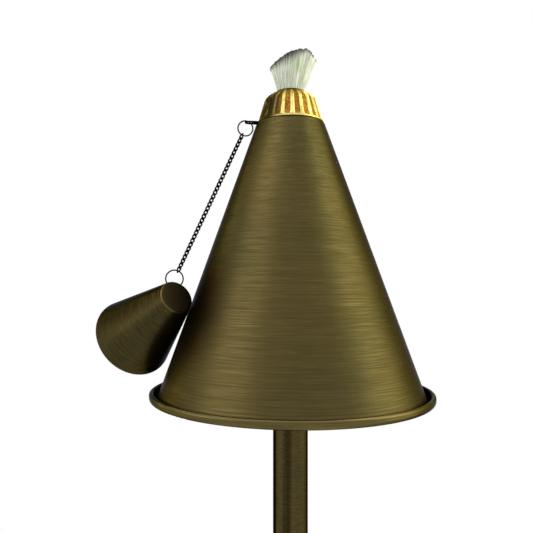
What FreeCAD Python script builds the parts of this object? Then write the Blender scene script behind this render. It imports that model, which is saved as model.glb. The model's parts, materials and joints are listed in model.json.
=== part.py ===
"""Garden fuel torch: a spun brass cone tank with a screw-down burner, a wick, a snuffer on a chain,
a three-section pole and a ground spike.

Millimetres. The origin is on the pole's axis at ground level, under the foot plate. +Z is up and -Y is the front.
The snuffer hangs on the -X side of the cone, turned a little towards the front.
"""
import FreeCAD
import Part

import math
import os

V = FreeCAD.Vector

# ---- pole and ground spike
POLE_OD = 25.4
POLE_WALL = 1.2
SECTION_LENGTH = 410.0
SECTION_COUNT = 3
SLIP = 0.1                     # radial clearance of a tube on its spigot or in its socket
COUPLER_REACH = 45.0           # how far a coupler goes into each tube
COUPLER_BORE_R = 8.5
COUPLER_BEAD_H = 5.0
COUPLER_BEAD_PROUD = 0.9
SCREW_R = 2.0
SCREW_LENGTH = 5.0             # from under the head to the tip
SCREW_HEAD_R = 3.6
SCREW_HEAD_H = 2.0
SCREW_DROP = 22.0              # from a joint line to its screw
PLATE_R = 36.0
PLATE_T = 3.0
SPIKE_R = 6.0
SPIKE_SHANK = 180.0            # straight length below ground
SPIKE_TIP = 40.0
SPIGOT_LENGTH = 60.0

# ---- cone tank, measured from the underside of its rim
RIM_R = 101.6
RIM_H = 5.9
RIM_ROLL_R = 1.75              # outer radius of the rolled edge's curl
RIM_CORNER_R = 2.6
RIM_LEG_Z = 3.2                # where the curl's inner leg ends
SHEET = 0.9
CONE_SLOPE = 0.362             # radius lost per unit of height
CONE_BASE_R = 96.0             # outer radius where the cone meets the pan
CONE_LAP = 8.0                 # flange turned inwards and soldered to the pan
NECK_EDGE_R = 25.0            # outer radius of the cone's cut top edge
PANEL_R = 58.0
PANEL_RISE = 2.6
PANEL_STEP = 6.0
SOLDER = 0.05                  # film left in a soldered seam

# ---- neck, burner and wick
NECK_BORE_R = 15.0
NECK_BOSS_R = 17.2
NECK_BOSS_H = 5.5
NECK_DEPTH = 9.5
NECK_FLANGE_T = 0.6
NECK_FLANGE_INSET = 0.45
SEAT_GAP = 0.15
GASKET_T = 1.2
GASKET_INSET = 0.2
FLANGE_T = 1.0
FLANGE_GAP = 0.1
WICK_R = 9.4
WICK_FIT = 0.3
TUBE_WALL = 0.6
TUBE_BELOW = 36.0              # wick tube below its flange
TUBE_LIP = 0.8                 # wick tube above the collar's top
COLLAR_FIT = 0.4
COLLAR_BASE_R = 23.7
COLLAR_SHOULDER_R = 18.7
COLLAR_SHOULDER_H = 16.3
COLLAR_TOP_R = 11.9
COLLAR_H = 21.9
SHOULDER_BULGE = 1.3           # how far the shoulder's arc stands above its chord
COLLAR_BAND = 1.5              # plain band under the flutes
COLLAR_HOLE_FIT = 0.3
FLUTE_COUNT = 20
FLUTE_SHARE = 0.48
FLUTE_DEPTH = 1.1
WICK_SHOWN = 30.4              # ridge of the wick above the collar's top
WICK_FAN_SKEW = 1.15
WICK_FAN_WIDE = 11.7           # how much wider than the cord the head has fanned out
WICK_FAN_DEEP = 2.5
WICK_RIDGE_X = 11.7
WICK_LEFT_X = -15.6
WICK_LEFT_DROP = 10.9
WICK_RIGHT_X = 19.0
WICK_RIGHT_DROP = 5.5
WICK_OFF_FLOOR = 12.0

# ---- pole socket
SOCKET_R = 16.0
SOCKET_FLANGE_R = 23.0
SOCKET_WEB = 1.8
SOCKET_DEPTH = 18.0
GRUB_R = 2.5
GRUB_LENGTH = 4.4
GRUB_DROP = 9.0
GRUB_COUNT = 3
GRUB_HEX = 2.5

# ---- ear, rings, chain and snuffer, in the upright plane at this bearing from -X towards the front
HANG_BEARING = 9.6
WASHER_T = 0.8
WASHER_R = 23.2
WASHER_FIT = 0.2
EAR_W = 7.2
EAR_HOLE_REACH = 30.0
EAR_HOLE_R = 2.1
RING_WIRE_R = 0.5
UPPER_RING_R = 5.4
UPPER_RING_TILT = 54.0         # the ring's centre lies this far below level from the ear's hole
LOWER_RING_R = 6.1
LINK_WIRE_R = 0.42
LINK_INNER_L = 3.4
LINK_INNER_W = 1.4
LINK_PLAY = 0.2
LINK_COUNT = 34
RUN_COUNT = 6                  # the chain hangs as this many stretches
SNUFFER_L = 67.0
SNUFFER_END_R = 12.0
SNUFFER_MOUTH_R = 30.5
SNUFFER_EDGE_R = 1.5
SNUFFER_HOLE_FIT = 0.3
SNUFFER_OFFSET = (-1.3, 11.78, -12.5)      # from the lower ring's centre: outwards, forwards, up
SNUFFER_AXIS = (-0.454, 0.757, 0.471)      # from the mouth to the closed end, in the same directions
REST_GAP = 0.35                # left between the snuffer and the tank it leans on

FAR = 400.0                    # reach of a cutting tool, beyond every piece

# ---- places that follow from the sizes
POLE_R = POLE_OD / 2
POLE_BORE_R = POLE_R - POLE_WALL
SPIGOT_R = POLE_BORE_R - SLIP
POLE_TOP = PLATE_T + SECTION_COUNT * SECTION_LENGTH + (SECTION_COUNT - 1) * COUPLER_BEAD_H
PANEL_Z = POLE_TOP + SLIP + SOCKET_WEB + SOLDER          # underside of the pan's raised panel
HEAD_Z = PANEL_Z - PANEL_RISE                            # underside of the rim
HALF_ANGLE = math.atan(CONE_SLOPE)
SHEET_ACROSS = SHEET / math.cos(HALF_ANGLE)              # the cone's wall measured level
FLOOR_Z = HEAD_Z + SHEET
APEX_Z = FLOOR_Z + CONE_BASE_R / CONE_SLOPE
CONE_TOP = APEX_Z - NECK_EDGE_R / CONE_SLOPE
NECK_TOP = CONE_TOP + SOLDER + NECK_FLANGE_T
WASHER_Z = NECK_TOP + SOLDER
COLLAR_Z = WASHER_Z + WASHER_T + SEAT_GAP
BOSS_TOP = NECK_TOP + NECK_BOSS_H
FLANGE_Z = BOSS_TOP + GASKET_T
ROOF_Z = FLANGE_Z + FLANGE_T + FLANGE_GAP
COLLAR_TOP = COLLAR_Z + COLLAR_H
TUBE_R = WICK_R + WICK_FIT + TUBE_WALL
BORE_OF_COLLAR = NECK_BOSS_R + COLLAR_FIT
WICK_TOP = COLLAR_TOP + WICK_SHOWN


def cone_r(z):
    """Outer radius of the tank at a height."""
    return (APEX_Z - z) * CONE_SLOPE


# ---- helpers
def outline(start, *steps):
    """Closed face in the XZ plane. A step is (x, z), or (x_via, z_via, x, z) for an arc through a point."""
    edges = []
    here = V(start[0], 0, start[1])
    for step in steps + (start,):
        there = V(step[-2], 0, step[-1])
        if len(step) == 4:
            edges.append(Part.Arc(here, V(step[0], 0, step[1]), there).toShape())
        elif (there - here).Length > 1e-7:
            edges.append(Part.LineSegment(here, there).toShape())
        here = there
    return Part.Face(Part.Wire(edges))


def turned(face, degrees=360):
    """The solid that a face in the XZ plane sweeps about Z."""
    return face.revolve(V(0, 0, 0), V(0, 0, 1), degrees)


def tube(outer_r, inner_r, z0, z1):
    return turned(outline((inner_r, z0), (outer_r, z0), (outer_r, z1), (inner_r, z1)))


def rod(r, start, end):
    return Part.makeCylinder(r, (end - start).Length, start, end - start)


def about_z(shape, degrees):
    turned_copy = shape.copy()
    turned_copy.rotate(V(0, 0, 0), V(0, 0, 1), degrees)
    return turned_copy


def corner(r, cx, cz, degrees):
    """Point on a corner's arc of radius r about (cx, cz)."""
    a = math.radians(degrees)
    return (cx + r * math.cos(a), cz + r * math.sin(a))


# ---- pole
def section_base(i):
    return PLATE_T + i * (SECTION_LENGTH + COUPLER_BEAD_H)


def back_screw_hole(z, r):
    return rod(r, V(0, 0, z), V(0, FAR, z))


def pole_section(i):
    low = section_base(i)
    high = low + SECTION_LENGTH
    shape = tube(POLE_R, POLE_BORE_R, low, high)
    if i < SECTION_COUNT - 1:
        shape = shape.cut(back_screw_hole(high - SCREW_DROP, SCREW_R + SLIP))
    return shape.cut(back_screw_hole(low + SCREW_DROP, SCREW_R + SLIP))


def coupler(i):
    """Turned spigot that joins section i to the one above, with a bead between the tube ends."""
    low = section_base(i) + SECTION_LENGTH
    high = low + COUPLER_BEAD_H
    bead_r = POLE_R + COUPLER_BEAD_PROUD
    bulge = (bead_r, (low + high) / 2, POLE_R, high)
    shape = turned(outline(
        (COUPLER_BORE_R, low - COUPLER_REACH), (SPIGOT_R, low - COUPLER_REACH), (SPIGOT_R, low), (POLE_R, low),
        bulge, (SPIGOT_R, high), (SPIGOT_R, high + COUPLER_REACH), (COUPLER_BORE_R, high + COUPLER_REACH)))
    for z in (low - SCREW_DROP, high + SCREW_DROP):
        shape = shape.cut(back_screw_hole(z, SCREW_R + SLIP / 2))
    return shape


def pan_head_screw(z):
    """Cross-recessed screw let in from the back of the pole, its head lying on the tube."""
    seat = POLE_R + SLIP
    dome = turned(outline(
        (0, 0), (SCREW_HEAD_R, 0), (SCREW_HEAD_R, SCREW_HEAD_H * 0.4),
        (SCREW_HEAD_R * 0.62, SCREW_HEAD_H * 0.86, 0, SCREW_HEAD_H)))
    for turn in (0, 90):
        slot = Part.makeBox(SCREW_HEAD_R * 1.1, 0.7, SCREW_HEAD_H, V(-SCREW_HEAD_R * 0.55, -0.35, SCREW_HEAD_H * 0.5))
        dome = dome.cut(about_z(slot, turn))
    screw = dome.fuse(Part.makeCylinder(SCREW_R, SCREW_LENGTH, V(0, 0, -SCREW_LENGTH))).removeSplitter()
    screw.rotate(V(0, 0, 0), V(1, 0, 0), -90)
    screw.translate(V(0, seat, z))
    return screw


def pole_screws():
    """One screw each side of every joint in the pole."""
    screws = []
    for i in range(SECTION_COUNT - 1):
        low = section_base(i) + SECTION_LENGTH
        screws += [pan_head_screw(low - SCREW_DROP), pan_head_screw(low + COUPLER_BEAD_H + SCREW_DROP)]
    return Part.makeCompound(screws)


def spike_screw():
    return pan_head_screw(section_base(0) + SCREW_DROP)


# ---- ground spike
def ground_spike():
    """Spigot for the pole, a waist through the foot plate, a round shank and a point."""
    waist_r = SPIGOT_R - 3
    shape = turned(outline(
        (0, -SPIKE_SHANK - SPIKE_TIP), (SPIKE_R, -SPIKE_SHANK), (SPIKE_R, 0), (waist_r, 0), (waist_r, PLATE_T),
        (SPIGOT_R, PLATE_T), (SPIGOT_R, PLATE_T + SPIGOT_LENGTH - 1), (SPIGOT_R - 1, PLATE_T + SPIGOT_LENGTH),
        (0, PLATE_T + SPIGOT_LENGTH)))
    depth = SPIGOT_R - (SCREW_LENGTH - POLE_WALL) - 1
    hole = rod(SCREW_R + SLIP / 2, V(0, depth, PLATE_T + SCREW_DROP), V(0, FAR, PLATE_T + SCREW_DROP))
    return shape.cut(hole)


def foot_plate():
    """Disc that the pole stands on and that is trodden down to push the spike in."""
    waist_r = SPIGOT_R - 3 + SLIP / 2
    edge = PLATE_T / 2
    return turned(outline(
        (waist_r, 0), (PLATE_R - edge, 0), (PLATE_R, edge, PLATE_R - edge, PLATE_T), (waist_r, PLATE_T)))


# ---- tank
def cone_shell():
    lap_r = CONE_BASE_R - SHEET_ACROSS - CONE_LAP
    floor = FLOOR_Z + SOLDER
    lap_top = floor + SHEET
    return turned(outline(
        (cone_r(floor), floor), (NECK_EDGE_R, CONE_TOP), (NECK_EDGE_R - SHEET_ACROSS, CONE_TOP),
        (cone_r(lap_top) - SHEET_ACROSS, lap_top), (lap_r, lap_top), (lap_r, floor)))


def base_pan():
    """Bottom of the tank: a raised panel, a flat that the cone is soldered to, a gutter and a rolled rim."""
    low, top = HEAD_Z, HEAD_Z + RIM_H
    curl_r, curl_x, curl_z = RIM_ROLL_R, RIM_R - RIM_ROLL_R, top - RIM_ROLL_R
    turn_x, turn_z = RIM_R - RIM_CORNER_R, low + RIM_CORNER_R
    leg_z = low + RIM_LEG_Z
    return turned(outline(
        (0, PANEL_Z), (PANEL_R, PANEL_Z), (PANEL_R + PANEL_STEP, low), (turn_x, low),
        (*corner(RIM_CORNER_R, turn_x, turn_z, -45), RIM_R, turn_z), (RIM_R, curl_z),
        (curl_x, top, curl_x - curl_r, curl_z), (curl_x - curl_r, leg_z), (curl_x - curl_r + SHEET, leg_z),
        (curl_x - curl_r + SHEET, curl_z), (curl_x, top - SHEET, RIM_R - SHEET, curl_z), (RIM_R - SHEET, turn_z),
        (*corner(RIM_CORNER_R - SHEET, turn_x, turn_z, -45), turn_x, low + SHEET),
        (PANEL_R + PANEL_STEP, low + SHEET), (PANEL_R, PANEL_Z + SHEET), (0, PANEL_Z + SHEET)))


def neck_ring():
    """Turned ring soldered into the cone's top, with the boss that the burner's collar goes over."""
    def inside(z):
        return cone_r(z) - SHEET_ACROSS - SOLDER
    low = CONE_TOP - NECK_DEPTH
    seat = CONE_TOP + SOLDER
    return turned(outline(
        (NECK_BORE_R, low), (inside(low), low), (inside(seat), seat), (NECK_EDGE_R - NECK_FLANGE_INSET, seat),
        (NECK_EDGE_R - NECK_FLANGE_INSET, NECK_TOP), (NECK_BOSS_R, NECK_TOP), (NECK_BOSS_R, BOSS_TOP),
        (NECK_BORE_R, BOSS_TOP)))


# ---- burner
def shoulder(depth=0.0):
    """Points of the collar's outside, or of a line this far inside it: base, shoulder, arc's middle, top."""
    base = (COLLAR_BASE_R - depth, COLLAR_Z)
    bend = (COLLAR_SHOULDER_R - depth, COLLAR_Z + COLLAR_SHOULDER_H - depth / 3)
    top = (COLLAR_TOP_R - depth / 3, COLLAR_TOP - depth)
    chord = V(top[0] - bend[0], 0, top[1] - bend[1])
    out = V(chord.z, 0, -chord.x).normalize() * SHOULDER_BULGE
    via = ((bend[0] + top[0]) / 2 + out.x, (bend[1] + top[1]) / 2 + out.z)
    return base, bend, via, top


def collar():
    """Cast cap with ribs for the fingers. It screws down on the neck and holds the wick tube's flange."""
    hole_r = TUBE_R + COLLAR_HOLE_FIT
    base, bend, via, top = shoulder()
    body = turned(outline(
        (BORE_OF_COLLAR, COLLAR_Z), base, bend, (*via, *top), (hole_r, COLLAR_TOP), (hole_r, ROOF_Z),
        (BORE_OF_COLLAR, ROOF_Z)))
    foot, bend, via, top = shoulder(FLUTE_DEPTH)
    low = COLLAR_Z + COLLAR_BAND
    slope = (bend[0] - foot[0]) / (bend[1] - foot[1])
    root = (foot[0] + slope * COLLAR_BAND, low)
    groove = outline(root, bend, (*via, *top), (hole_r - FLUTE_DEPTH, top[1]), (hole_r - FLUTE_DEPTH, COLLAR_TOP + 1),
                     (COLLAR_BASE_R + 1, COLLAR_TOP + 1), (COLLAR_BASE_R + 1, low))
    pitch = 360 / FLUTE_COUNT
    cutter = about_z(turned(groove, pitch * FLUTE_SHARE), -pitch * FLUTE_SHARE / 2)
    for i in range(FLUTE_COUNT):
        body = body.cut(about_z(cutter, (i + 0.5) * pitch))
    return body


def burner_gasket():
    return tube(NECK_BOSS_R - GASKET_INSET, NECK_BORE_R + GASKET_INSET, BOSS_TOP, FLANGE_Z)


def wick_tube():
    """Thin tube with a flange that rests on the gasket, inside the collar."""
    bore_r = TUBE_R - TUBE_WALL
    flange_top = FLANGE_Z + FLANGE_T
    return turned(outline(
        (bore_r, FLANGE_Z - TUBE_BELOW), (TUBE_R, FLANGE_Z - TUBE_BELOW), (TUBE_R, FLANGE_Z), (NECK_BOSS_R, FLANGE_Z),
        (NECK_BOSS_R, flange_top), (TUBE_R, flange_top), (TUBE_R, COLLAR_TOP + TUBE_LIP),
        (bore_r, COLLAR_TOP + TUBE_LIP)))


def wick():
    """Soft wick: a round cord down into the tank, and a frayed head cut to a slanting ridge."""
    throat = COLLAR_TOP + TUBE_LIP
    cord = rod(WICK_R, V(0, 0, FLOOR_Z + WICK_OFF_FLOOR), V(0, 0, throat + 1))
    spread_z = WICK_TOP + 3
    bottom = Part.Wire(Part.makeCircle(WICK_R, V(0, 0, throat + 0.5)))
    rim = Part.Ellipse(V(WICK_FAN_SKEW, 0, spread_z), WICK_R + WICK_FAN_WIDE, WICK_R + WICK_FAN_DEEP)
    top = Part.Wire(rim.toShape())
    head = Part.makeLoft([bottom, top], True)
    ridge = (WICK_RIDGE_X, WICK_TOP)
    left = (WICK_LEFT_X, WICK_TOP - WICK_LEFT_DROP)
    right = (WICK_RIGHT_X, WICK_TOP - WICK_RIGHT_DROP)
    for end in (left, right):
        far = (ridge[0] + 3 * (end[0] - ridge[0]), ridge[1] + 3 * (end[1] - ridge[1]))
        back = (ridge[0] - 0.5 * (end[0] - ridge[0]), ridge[1] - 0.5 * (end[1] - ridge[1]))
        blade = outline(back, far, (far[0], WICK_TOP + 60), (back[0], WICK_TOP + 60))
        head = head.cut(blade.extrude(V(0, 80, 0)).translate(V(0, -40, 0)))
    return cord.fuse(head).removeSplitter()


# ---- pole socket
def pole_socket():
    """Blind cup brazed under the tank, with its flange on the pan's raised panel."""
    bore_r = POLE_R + SLIP
    roof = POLE_TOP + SLIP
    shape = turned(outline(
        (0, roof), (bore_r, roof), (bore_r, roof - SOCKET_DEPTH), (SOCKET_R, roof - SOCKET_DEPTH), (SOCKET_R, roof),
        (SOCKET_FLANGE_R, roof), (SOCKET_FLANGE_R, roof + SOCKET_WEB), (0, roof + SOCKET_WEB)))
    for i in range(GRUB_COUNT):
        hole = rod(GRUB_R + SLIP / 2, V(0, POLE_R, roof - GRUB_DROP), V(0, SOCKET_R + 1, roof - GRUB_DROP))
        shape = shape.cut(about_z(hole, i * 360 / GRUB_COUNT))
    return shape


def socket_screws():
    """Hex grub screws that nip the pole in its socket."""
    z = POLE_TOP + SLIP - GRUB_DROP
    start = POLE_R + SLIP / 2
    grub = rod(GRUB_R, V(0, start, z), V(0, start + GRUB_LENGTH, z))
    hexagon = Part.makePolygon([
        V(GRUB_HEX / math.sqrt(3) * math.cos(math.radians(60 * k)), start + GRUB_LENGTH,
          z + GRUB_HEX / math.sqrt(3) * math.sin(math.radians(60 * k))) for k in range(7)])
    grub = grub.cut(Part.Face(hexagon).extrude(V(0, -GRUB_LENGTH / 2, 0)))
    return Part.makeCompound([about_z(grub, i * 360 / GRUB_COUNT) for i in range(GRUB_COUNT)])


# ---- the plane that the chain hangs in
BEARING = math.radians(HANG_BEARING)
OUTWARD = V(-math.cos(BEARING), -math.sin(BEARING), 0)
FORWARD = V(math.sin(BEARING), -math.cos(BEARING), 0)
UP = V(0, 0, 1)


def at(reach, z, forward=0.0):
    """Point at a reach from the pole's axis and a height, in the chain's plane."""
    return OUTWARD * reach + FORWARD * forward + UP * z


EAR_Z = WASHER_Z + WASHER_T / 2
EAR_HOLE = at(EAR_HOLE_REACH, EAR_Z)
RING_DROP = math.radians(UPPER_RING_TILT)
UPPER_RING = EAR_HOLE + (OUTWARD * math.cos(RING_DROP) - UP * math.sin(RING_DROP)) * UPPER_RING_R
LINK_PITCH = LINK_INNER_L - LINK_PLAY
LINK_TURN = 180 * math.ceil((LINK_COUNT - 1) / 2) / (LINK_COUNT - 1)   # about a right angle, and the ends match
END_REACH = LINK_INNER_L / 2 - RING_WIRE_R - LINK_PLAY / 4      # end link's centre from a ring's wire
CHAIN_LENGTH = (LINK_COUNT - 1) * LINK_PITCH + 2 * END_REACH    # from wire to wire
SNUFFER_IN = SNUFFER_END_R - SHEET
SNUFFER_TAPER = (SNUFFER_MOUTH_R - SNUFFER_END_R) / SNUFFER_L


def in_plane(parts):
    return OUTWARD * parts[0] + FORWARD * parts[1] + UP * parts[2]


SNUFFER_DIRECTION = in_plane(SNUFFER_AXIS).normalize()


def hang(lean):
    """Chain's direction, lower ring's centre and centre of the snuffer's closed end, for a lean in radians."""
    down = OUTWARD * math.sin(lean) - UP * math.cos(lean)
    ring = UPPER_RING + down * (UPPER_RING_R + CHAIN_LENGTH + LOWER_RING_R)
    return down, ring, ring + in_plane(SNUFFER_OFFSET)


def tank_gap(p):
    """Distance from a point to the cone or to the pan's rim, whichever is nearer."""
    reach = math.hypot(p.x, p.y)
    beside, above = reach - RIM_R, p.z - HEAD_Z - RIM_H
    to_rim = math.hypot(beside, above) if beside > 0 and above > 0 else max(beside, above)
    return min((reach - cone_r(p.z)) * math.cos(HALF_ANGLE), to_rim)


def snuffer_gap(lean):
    """Least distance from the snuffer's outside to the tank, found on a grid of its lines."""
    end = hang(lean)[2]
    side = SNUFFER_DIRECTION.cross(UP).normalize()
    other = SNUFFER_DIRECTION.cross(side)
    least = FAR
    for s in range(9):
        reach = SNUFFER_L * s / 8
        r = SNUFFER_END_R + SNUFFER_TAPER * reach
        for k in range(180):
            a = math.radians(2 * k)
            p = end - SNUFFER_DIRECTION * reach + (side * math.cos(a) + other * math.sin(a)) * r
            least = min(least, tank_gap(p))
    return least


def rest_lean():
    """The lean at which the snuffer just touches the tank, less the gap left there."""
    low, high = 0.0, math.radians(80)
    for _ in range(40):
        middle = (low + high) / 2
        if snuffer_gap(middle) < REST_GAP:
            low = middle
        else:
            high = middle
    return high


LEAN = rest_lean()
CHAIN_DOWN, LOWER_RING, SNUFFER_END = hang(LEAN)
CHAIN_ACROSS = CHAIN_DOWN.cross(FORWARD).normalize()     # in the chain's plane, square to the chain
CHAIN_START = UPPER_RING + CHAIN_DOWN * UPPER_RING_R


# ---- ear and rings
def chain_washer():
    """Flat washer held down by the collar, with an ear that the upper ring goes through."""
    washer = tube(WASHER_R, NECK_BOSS_R + WASHER_FIT, WASHER_Z, WASHER_Z + WASHER_T)
    root = (NECK_BOSS_R + WASHER_FIT + WASHER_R) / 2
    arm = Part.makeBox(EAR_HOLE_REACH - root, EAR_W, WASHER_T, V(root, -EAR_W / 2, WASHER_Z))
    tip = Part.makeCylinder(EAR_W / 2, WASHER_T, V(EAR_HOLE_REACH, 0, WASHER_Z))
    washer = washer.fuse([arm, tip]).removeSplitter()
    washer.rotate(V(0, 0, 0), UP, 180 + HANG_BEARING)
    return washer.cut(rod(EAR_HOLE_R, EAR_HOLE - UP * WASHER_T, EAR_HOLE + UP * WASHER_T))


def ring_at(centre, r, wire_r=RING_WIRE_R):
    return Part.makeTorus(r, wire_r, centre, FORWARD)


# ---- chain
def link_centre(i):
    return CHAIN_START + CHAIN_DOWN * (END_REACH + i * LINK_PITCH)


def link_side(i):
    """Direction across link i, in the link's own plane. The first and last links stand square to the rings."""
    turn = math.radians(i * LINK_TURN)
    return FORWARD * math.cos(turn) + CHAIN_ACROSS * math.sin(turn)


def chain_link(i):
    """Oval link: two straight wires and two half rings."""
    centre, side = link_centre(i), link_side(i)
    bend_r = LINK_INNER_W / 2 + LINK_WIRE_R
    straight = LINK_INNER_L - LINK_INNER_W
    path = []
    corners = [centre + side * (bend_r * sx) + CHAIN_DOWN * (straight / 2 * sz) for sx, sz in
               ((1, -1), (1, 1), (-1, 1), (-1, -1))]
    ends = [centre + CHAIN_DOWN * (sz * (straight / 2 + bend_r)) for sz in (1, -1)]
    path.append(Part.LineSegment(corners[0], corners[1]).toShape())
    path.append(Part.Arc(corners[1], ends[0], corners[2]).toShape())
    path.append(Part.LineSegment(corners[2], corners[3]).toShape())
    path.append(Part.Arc(corners[3], ends[1], corners[0]).toShape())
    profile = Part.Wire(Part.makeCircle(LINK_WIRE_R, corners[0], CHAIN_DOWN))
    return Part.Wire(path).makePipeShell([profile], True, True)


def first_link(n):
    """Number of the first link in stretch n."""
    return round(n * LINK_COUNT / RUN_COUNT)


def chain_run(n):
    """Links that hang as one stretch between two of the chain's joints."""
    return Part.makeCompound([chain_link(i) for i in range(first_link(n), first_link(n + 1))])


# ---- snuffer
def snuffer():
    """Spun cup that drops over the wick. The lower ring goes through two holes beside its closed end."""
    out_r, mouth_r, round_r = SNUFFER_END_R, SNUFFER_MOUTH_R, SNUFFER_EDGE_R
    wall = SHEET * math.hypot(1, SNUFFER_TAPER)
    flat_r = out_r - round_r * 0.75
    turn_z = -round_r
    bulge = corner(round_r, flat_r - 0.1, turn_z, 42)
    cup = turned(outline(
        (0, 0), (flat_r - 0.3, 0), (*bulge, out_r + SNUFFER_TAPER * round_r, turn_z), (mouth_r, -SNUFFER_L),
        (mouth_r - wall, -SNUFFER_L), (out_r - wall + SNUFFER_TAPER * round_r, turn_z - SHEET * 0.2),
        (SNUFFER_IN - round_r * 0.5, -SHEET), (0, -SHEET)))
    place = FreeCAD.Placement(SNUFFER_END, FreeCAD.Rotation(UP, SNUFFER_DIRECTION))
    cup.Placement = place
    return cup.cut(ring_at(LOWER_RING, LOWER_RING_R, RING_WIRE_R + SNUFFER_HOLE_FIT))


def all_parts():
    """Every sub-part by node name."""
    parts = {
        "ground_spike": ground_spike(),
        "foot_plate": foot_plate(),
        "spike_screw": spike_screw(),
        "pole_screws": pole_screws(),
        "pole_socket": pole_socket(),
        "socket_screws": socket_screws(),
        "base_pan": base_pan(),
        "cone_shell": cone_shell(),
        "neck_ring": neck_ring(),
        "burner_gasket": burner_gasket(),
        "wick_tube": wick_tube(),
        "wick": wick(),
        "collar": collar(),
        "chain_washer": chain_washer(),
        "upper_ring": ring_at(UPPER_RING, UPPER_RING_R),
        "lower_ring": ring_at(LOWER_RING, LOWER_RING_R),
        "snuffer": snuffer(),
    }
    for i, name in enumerate(("bottom", "middle", "top")):
        parts[f"pole_{name}"] = pole_section(i)
    for i, name in enumerate(("lower", "upper")):
        parts[f"{name}_coupler"] = coupler(i)
    for n in range(RUN_COUNT):
        parts[f"chain_run_{n + 1}"] = chain_run(n)
    return parts


def main():
    os.makedirs("parts", exist_ok=True)
    for name, shape in all_parts().items():
        shape.exportStep(f"parts/{name}.step")
        sound = all(s.isValid() and s.Volume > 0 for s in shape.Solids)
        print(f"{name}: {len(shape.Solids)} solid(s), {shape.Volume / 1000:.2f} cm3, sound {sound}")
    print(f"head at {HEAD_Z:.1f}, cone top {CONE_TOP:.1f}, collar {COLLAR_Z:.1f} to {COLLAR_TOP:.1f}, wick {WICK_TOP:.1f}")
    print(f"chain leans {math.degrees(LEAN):.2f} degrees, {CHAIN_LENGTH:.1f} long, gap {snuffer_gap(LEAN):.2f}")


if __name__ == "__main__":
    main()
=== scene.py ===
# %% [markdown]
# # A garden torch in brushed brass
# The torch is a cone-shaped oil tank on a pole, with a ribbed cap at its top, a soft wick standing out of the cap,
# and a snuffer hanging on a fine chain.
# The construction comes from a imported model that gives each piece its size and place.
# Everything here is about how the pieces look: the finish of the metal, the chain's links, the wick's fibres.

import json
import math

import bmesh
import bpy
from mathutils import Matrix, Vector


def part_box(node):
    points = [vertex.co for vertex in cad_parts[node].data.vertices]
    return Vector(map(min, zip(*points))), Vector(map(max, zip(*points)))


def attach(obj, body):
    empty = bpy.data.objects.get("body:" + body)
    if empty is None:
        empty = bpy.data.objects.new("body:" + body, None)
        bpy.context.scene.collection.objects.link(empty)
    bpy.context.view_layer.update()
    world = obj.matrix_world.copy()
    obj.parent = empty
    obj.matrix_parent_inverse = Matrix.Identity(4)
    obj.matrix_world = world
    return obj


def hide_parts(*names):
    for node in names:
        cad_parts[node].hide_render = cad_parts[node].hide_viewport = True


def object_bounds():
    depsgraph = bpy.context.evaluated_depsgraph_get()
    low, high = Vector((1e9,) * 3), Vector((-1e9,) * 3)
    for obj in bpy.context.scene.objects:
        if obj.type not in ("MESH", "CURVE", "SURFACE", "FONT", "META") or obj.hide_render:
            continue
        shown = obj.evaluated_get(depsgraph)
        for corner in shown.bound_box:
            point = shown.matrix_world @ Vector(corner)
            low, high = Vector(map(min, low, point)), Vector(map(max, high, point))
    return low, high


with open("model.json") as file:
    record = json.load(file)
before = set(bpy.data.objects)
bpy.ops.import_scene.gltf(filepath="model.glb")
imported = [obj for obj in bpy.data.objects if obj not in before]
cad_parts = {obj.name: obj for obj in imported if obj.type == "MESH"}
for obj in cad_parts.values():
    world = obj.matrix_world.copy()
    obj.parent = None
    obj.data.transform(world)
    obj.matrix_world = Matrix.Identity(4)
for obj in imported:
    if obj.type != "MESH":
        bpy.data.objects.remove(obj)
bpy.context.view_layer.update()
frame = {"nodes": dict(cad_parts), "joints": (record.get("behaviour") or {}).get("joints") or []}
MM = 0.001
nodes = frame["nodes"]
joint = {j["name"]: j for j in frame["joints"]}
print("pieces in the construction:", len(nodes))

# %% [markdown]
# ## Where the camera stands
# The camera looks level, close enough for the rim to show as an ellipse.
# The lens is a 40 mm one on a 36 mm wide sensor. The frame is shifted a little up and to the right of the lens's
# axis, as a view camera does it, so that the torch's sides don't converge.
# Its height comes from the cone's cut top edge, so it follows the torch if the pole gets longer.

# %% Camera
cone_low, cone_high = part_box("cone_shell")
CAMERA_BACK = 431.2 * MM
CAMERA_LEFT = 28.77 * MM
CAMERA_BELOW_CONE_TOP = 113.9 * MM
SHIFT_RIGHT, SHIFT_UP = 0.0293, 0.0297      # shares of the frame's width
camera = bpy.data.objects.new("camera", bpy.data.cameras.new("camera"))
bpy.context.scene.collection.objects.link(camera)
camera.location = (-CAMERA_LEFT, -CAMERA_BACK, cone_high.z - CAMERA_BELOW_CONE_TOP)
camera.rotation_euler = (math.radians(90), 0, 0)
camera.data.lens = 40
camera.data.sensor_width = 36
camera.data.shift_x = SHIFT_RIGHT
camera.data.shift_y = SHIFT_UP
camera.data.clip_start = 0.01
bpy.context.scene.camera = camera
print("camera height", round(camera.location.z, 3))

# %% [markdown]
# ## A helper for shader nodes
# Node trees are written as code here. This helper makes one node, sets its properties, and fills or links its inputs.
# An input that is another node's socket gets a link, and anything else becomes the input's value.

# %% Node helper
def add(tree, kind, inputs=None, **settings):
    made = tree.nodes.new(kind)
    for key, value in settings.items():
        setattr(made, key, value)
    for key, value in (inputs or {}).items():
        if isinstance(value, bpy.types.NodeSocket):
            tree.links.new(value, made.inputs[key])
        else:
            made.inputs[key].default_value = value
    return made


def new_material(name):
    material = bpy.data.materials.new(name)
    material.use_nodes = True
    tree = material.node_tree
    tree.nodes.clear()
    shader = add(tree, "ShaderNodeBsdfPrincipled")
    output = add(tree, "ShaderNodeOutputMaterial", {"Surface": shader.outputs[0]})
    output.is_active_output = True
    return material, tree, shader


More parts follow.
